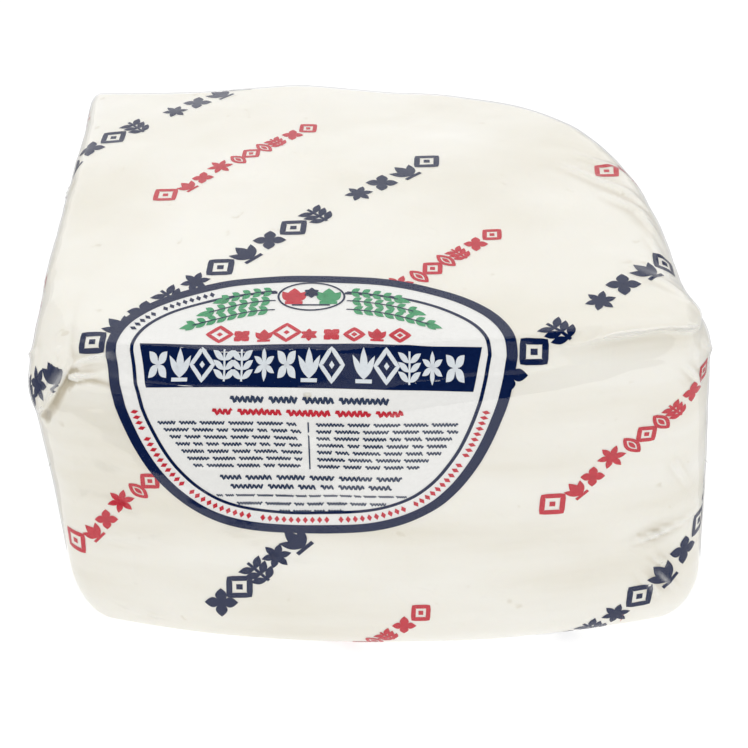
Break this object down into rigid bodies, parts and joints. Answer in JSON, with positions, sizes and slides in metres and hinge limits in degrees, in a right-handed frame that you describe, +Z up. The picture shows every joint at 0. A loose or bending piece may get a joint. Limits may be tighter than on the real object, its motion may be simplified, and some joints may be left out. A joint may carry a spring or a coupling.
{
  "type": "film-wrapped block of mozzarella curd",
  "caption": "Rounded, slightly wedged block of white mozzarella curd sealed in a tight clear printed film bag, lying on its flat base",
  "frame": {"origin": "middle of the bounding box in plan, on the plane the pack rests on", "axes": "+X to the right along the labelled front, +Y from the labelled front to the back, +Z up"},
  "size_m": [0.2784, 0.2496, 0.1571],
  "materials": {
    "packed_curd": "cream-white curd under clear glossy shrink film printed in navy and red"
  },
  "bodies": {
    "root": {"curd_pack": "packed_curd"}
  },
  "joints": []
}
